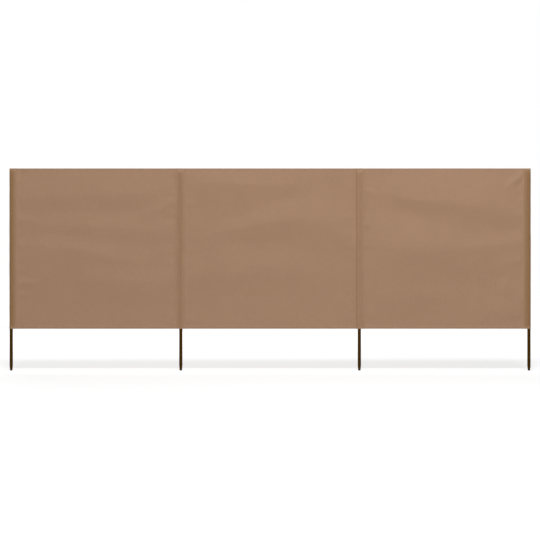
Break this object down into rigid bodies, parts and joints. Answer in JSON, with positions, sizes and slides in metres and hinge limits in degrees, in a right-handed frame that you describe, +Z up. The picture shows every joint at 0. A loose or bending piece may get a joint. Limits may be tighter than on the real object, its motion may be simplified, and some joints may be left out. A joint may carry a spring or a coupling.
{
  "type": "beach windbreak",
  "caption": "Free-standing beach windbreak: bays of taupe cloth sewn to pockets round dark brown poles with tapered ground ends; the end bays fold about the inner poles.",
  "frame": {"origin": "centre of the blunt lower end of the second pole from the left, as seen from the front", "axes": "+X along the cloth to the right as seen from the front, -Y to the front, +Z up the poles"},
  "size_m": [4, 0.0274, 1.55],
  "materials": {
    "cloth": "plain-weave taupe polyester, matt",
    "pole_tube": "dark brown powder-coated steel tube, semi-gloss",
    "pole_plastic": "dark brown moulded plastic"
  },
  "bodies": {
    "middle_bay": {"pole_2": "pole_tube", "pole_tip_2": "pole_plastic", "pole_cap_2": "pole_plastic", "pocket_2": "cloth", "pocket_top_2": "cloth", "pole_3": "pole_tube", "pole_tip_3": "pole_plastic", "pole_cap_3": "pole_plastic", "pocket_3": "cloth", "pocket_top_3": "cloth", "pocket_2_right_seam": "cloth", "pocket_3_left_seam": "cloth", "middle_cloth": "cloth", "middle_top_hem": "cloth", "middle_bottom_hem": "cloth"},
    "left_bay": {"pole_1": "pole_tube", "pole_tip_1": "pole_plastic", "pole_cap_1": "pole_plastic", "pocket_1": "cloth", "pocket_top_1": "cloth", "pocket_2_left_seam": "cloth", "left_cloth": "cloth", "left_top_hem": "cloth", "left_bottom_hem": "cloth"},
    "right_bay": {"pole_4": "pole_tube", "pole_tip_4": "pole_plastic", "pole_cap_4": "pole_plastic", "pocket_4": "cloth", "pocket_top_4": "cloth", "pocket_3_right_seam": "cloth", "right_cloth": "cloth", "right_top_hem": "cloth", "right_bottom_hem": "cloth"}
  },
  "joints": [
    {"name": "left_bay_turn", "type": "hinge", "parent": "middle_bay", "child": "left_bay", "pos_m": [0, 0, 0.935], "axis": [0, 0, 1], "range_deg": [-120, 120]},
    {"name": "right_bay_turn", "type": "hinge", "parent": "middle_bay", "child": "right_bay", "pos_m": [1.37, 0, 0.935], "axis": [0, 0, 1], "range_deg": [-120, 120]}
  ]
}
